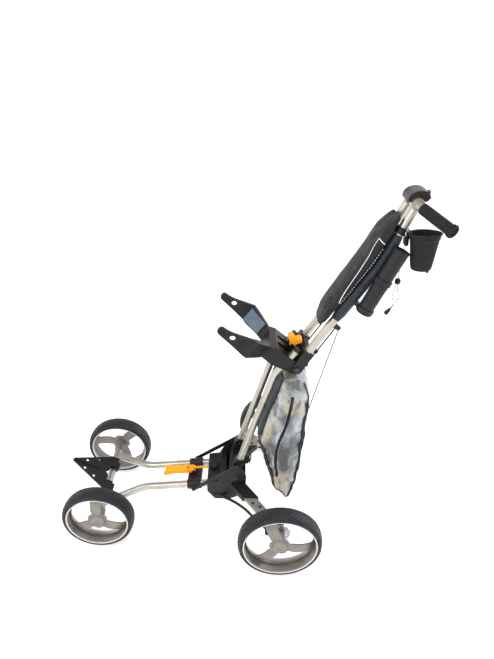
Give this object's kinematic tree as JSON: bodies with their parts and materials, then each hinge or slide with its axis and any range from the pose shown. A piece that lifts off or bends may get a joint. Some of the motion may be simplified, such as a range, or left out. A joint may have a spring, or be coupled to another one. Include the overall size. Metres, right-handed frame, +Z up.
{
  "type": "folding golf push cart",
  "caption": "Folding wheeled golf cart frame with a hinged mast, cradle and bracket for a golf bag, storage pouches, umbrella tube and swept handle.",
  "frame": {"origin": "on the ground, below the middle of the cart's length and width", "axes": "+Z up, -Y to the front of the cart, +X to the cart's left"},
  "size_m": [0.614, 1.1088, 1.1339],
  "materials": {
    "tyre": "matt rubber, fine tread lines",
    "wheel": "warm grey moulded plastic",
    "disc": "brushed",
    "tube": "satin champagne anodised",
    "plastic": "charcoal moulded plastic",
    "orange": "orange-yellow moulded plastic",
    "steel": "plain steel",
    "pad": "blue-grey pad",
    "silver_fabric": "crinkled silver-coated fabric",
    "black_fabric": "black fabric",
    "mesh": "black mesh fabric",
    "grip": "foam",
    "cable": "cable sleeve",
    "wire": "bare twisted cable",
    "cord": "thin braided cord"
  },
  "bodies": {
    "chassis": {"front_axle_tube": "tube", "front_tube_left": "tube", "front_tube_right": "tube", "bag_cradle": "plastic", "hub_body": "plastic", "latch_catch": "plastic", "mast_pivot_pin": "steel", "leg_left": "tube", "leg_right": "tube", "knee_covers": "plastic", "leg_screws": "steel", "axle_blocks": "plastic", "axle_pins": "steel", "leg_bands": "cable"},
    "slide_yoke": {"slide_yoke": "plastic"},
    "latch_lever": {"latch_lever": "orange"},
    "latch_link": {"latch_link": "orange"},
    "lower_mast": {"mast_tube_left": "tube", "mast_tube_right": "tube", "mast_foot": "plastic", "lifting_ring": "steel", "bag_bracket": "plastic", "bracket_arm_left": "plastic", "bracket_arm_right": "plastic", "bracket_pads": "pad", "tube_caps": "plastic", "storage_bag": "silver_fabric", "upper_hinge_pin": "steel"},
    "struts": {"struts": "plastic"},
    "upper_latch": {"upper_latch": "orange"},
    "upper_mast": {"upper_yoke": "plastic", "upper_tube_left": "tube", "upper_tube_right": "tube", "umbrella_tube": "plastic", "umbrella_clamps": "plastic", "console_pouch": "black_fabric", "mesh_bag": "mesh", "brake_clamp": "plastic", "cable_guides": "plastic", "cable_housings": "cable", "brake_cable": "wire", "drawstring": "cord", "cord_toggles": "plastic"},
    "brake_lever": {"brake_lever": "plastic"},
    "handle": {"handle_bar": "tube", "grip_left": "grip", "grip_right": "grip", "handle_knuckle": "plastic"},
    "knuckle_button": {"knuckle_button": "plastic"},
    "front_wheel_l": {"front_tyre_left": "tyre", "front_wheel_left": "wheel"},
    "front_wheel_r": {"front_tyre_right": "tyre", "front_wheel_right": "wheel"},
    "rear_wheel_l": {"rear_tyre_left": "tyre", "rear_wheel_left": "wheel", "brake_disc_left": "disc"},
    "rear_wheel_r": {"rear_tyre_right": "tyre", "rear_wheel_right": "wheel", "brake_disc_right": "disc"}
  },
  "joints": [
    {"name": "mast_fold", "type": "hinge", "parent": "chassis", "child": "lower_mast", "pos_m": [0, 0.005, 0.18], "axis": [1, 0, 0], "range_deg": [0, 74]},
    {"name": "yoke_slide", "type": "slide", "parent": "chassis", "child": "slide_yoke", "axis": [0, -0.9971, -0.0767], "range_m": [0, 0.081]},
    {"name": "strut_hinge", "type": "hinge", "parent": "lower_mast", "child": "struts", "pos_m": [0, 0.01914, 0.23913], "axis": [1, 0, 0], "range_deg": [-84, 0]},
    {"name": "latch_lever_hinge", "type": "hinge", "parent": "slide_yoke", "child": "latch_lever", "pos_m": [0, -0.13934, 0.15496], "axis": [1, 0, 0], "range_deg": [-110, 0]},
    {"name": "latch_link_hinge", "type": "hinge", "parent": "latch_lever", "child": "latch_link", "pos_m": [0, -0.15269, 0.15895], "axis": [1, 0, 0], "range_deg": [0, 141]},
    {"name": "upper_fold", "type": "hinge", "parent": "lower_mast", "child": "upper_mast", "pos_m": [0, 0.194, 0.613], "axis": [1, 0, 0], "range_deg": [-110, 0], "deforming": ["storage_bag"]},
    {"name": "upper_latch_hinge", "type": "hinge", "parent": "lower_mast", "child": "upper_latch", "pos_m": [0, 0.181, 0.667], "axis": [1, 0, 0], "range_deg": [0, 35]},
    {"name": "handle_tilt", "type": "hinge", "parent": "upper_mast", "child": "handle", "pos_m": [0, 0.483, 1.099], "axis": [1, 0, 0], "range_deg": [0, 32]},
    {"name": "button_press", "type": "slide", "parent": "handle", "child": "knuckle_button", "axis": [0, -0.9613, -0.2756], "range_m": [0, 0.0035], "stiffness_N_per_m": 400},
    {"name": "brake_lever_hinge", "type": "hinge", "parent": "upper_mast", "child": "brake_lever", "pos_m": [0, 0.468, 1.028], "axis": [1, 0, 0], "range_deg": [0, 35]},
    {"name": "front_wheel_l_spin", "type": "hinge", "parent": "chassis", "child": "front_wheel_l", "pos_m": [0.171, -0.437, 0.113], "axis": [1, 0, 0], "continuous": true},
    {"name": "front_wheel_r_spin", "type": "hinge", "parent": "chassis", "child": "front_wheel_r", "pos_m": [-0.171, -0.437, 0.113], "axis": [1, 0, 0], "continuous": true},
    {"name": "rear_wheel_l_spin", "type": "hinge", "parent": "chassis", "child": "rear_wheel_l", "pos_m": [0.281, 0.145, 0.127], "axis": [1, 0, 0], "continuous": true},
    {"name": "rear_wheel_r_spin", "type": "hinge", "parent": "chassis", "child": "rear_wheel_r", "pos_m": [-0.281, 0.145, 0.127], "axis": [1, 0, 0], "continuous": true}
  ],
  "couplings": [
    {"joint": "yoke_slide", "follows": "mast_fold", "m_per_rad": 0.062233},
    {"joint": "strut_hinge", "follows": "mast_fold", "ratio": -1.1104},
    {"joint": "latch_link_hinge", "follows": "latch_lever_hinge", "ratio": -1.27}
  ]
}
